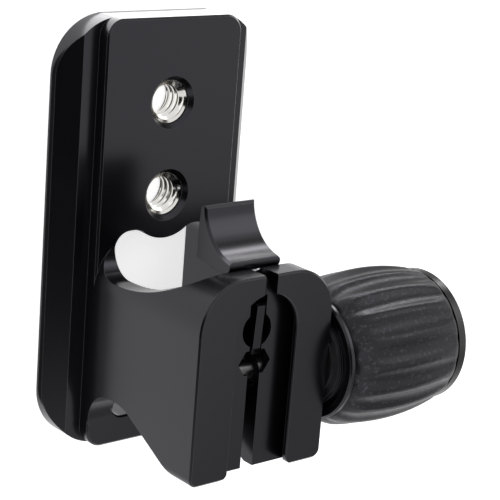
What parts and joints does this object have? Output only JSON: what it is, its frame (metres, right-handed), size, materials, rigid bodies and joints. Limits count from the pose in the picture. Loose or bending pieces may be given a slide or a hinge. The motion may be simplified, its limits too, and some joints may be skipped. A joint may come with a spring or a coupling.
{
  "type": "lens quick release plate",
  "caption": "Dovetail plate with a raised arm that ends in a grooved clamp, held by a split, a clamping knob and a thumb catch.",
  "frame": {"origin": "on the sliding face, halfway along the dovetail and halfway across it", "axes": "+X across the plate towards the knob, +Y along the plate towards its threaded end, +Z from the sliding face towards the lens"},
  "size_m": [0.0592, 0.0708, 0.0413],
  "materials": {
    "anodised_body": "satin black anodised",
    "stainless_insert": "bright stainless",
    "anodised_catch": "satin black anodised",
    "pin_steel": "ground",
    "spring_steel": "drawn wire",
    "screw_steel": "black oxide, turned",
    "slip_plastic": "black acetal",
    "washer_steel": "stamped",
    "anodised_core": "turned and anodised",
    "grip_rubber": "moulded rubber, soft flutes",
    "cap_plastic": "smooth black"
  },
  "bodies": {
    "foot": {"foot_body": "anodised_body", "upper_thread_insert": "stainless_insert", "lower_thread_insert": "stainless_insert", "catch_pivot_pin": "pin_steel", "catch_spring": "spring_steel"},
    "catch": {"catch_lever": "anodised_catch"},
    "screw_carriage": {"slip_washer": "slip_plastic", "steel_washer": "washer_steel"},
    "knob": {"clamp_screw": "screw_steel", "knob_core": "anodised_core", "knob_grip": "grip_rubber", "knob_end_cap": "cap_plastic"}
  },
  "joints": [
    {"name": "catch_press", "type": "hinge", "parent": "foot", "child": "catch", "pos_m": [0, -0.02305, 0.0235], "axis": [-1, 0, 0], "range_deg": [0, 4.5], "stiffness_Nm_per_rad": 0.15, "springref_deg": -5.73, "deforming": ["catch_spring"]},
    {"name": "knob_travel", "type": "slide", "parent": "foot", "child": "screw_carriage", "axis": [1, 0, 0], "range_m": [0, 0.004]},
    {"name": "knob_turn", "type": "hinge", "parent": "screw_carriage", "child": "knob", "pos_m": [0, -0.01655, 0.02855], "axis": [1, 0, 0], "range_deg": [0, 1801]}
  ],
  "couplings": [
    {"joint": "knob_turn", "follows": "knob_travel", "rad_per_m": 7854}
  ]
}
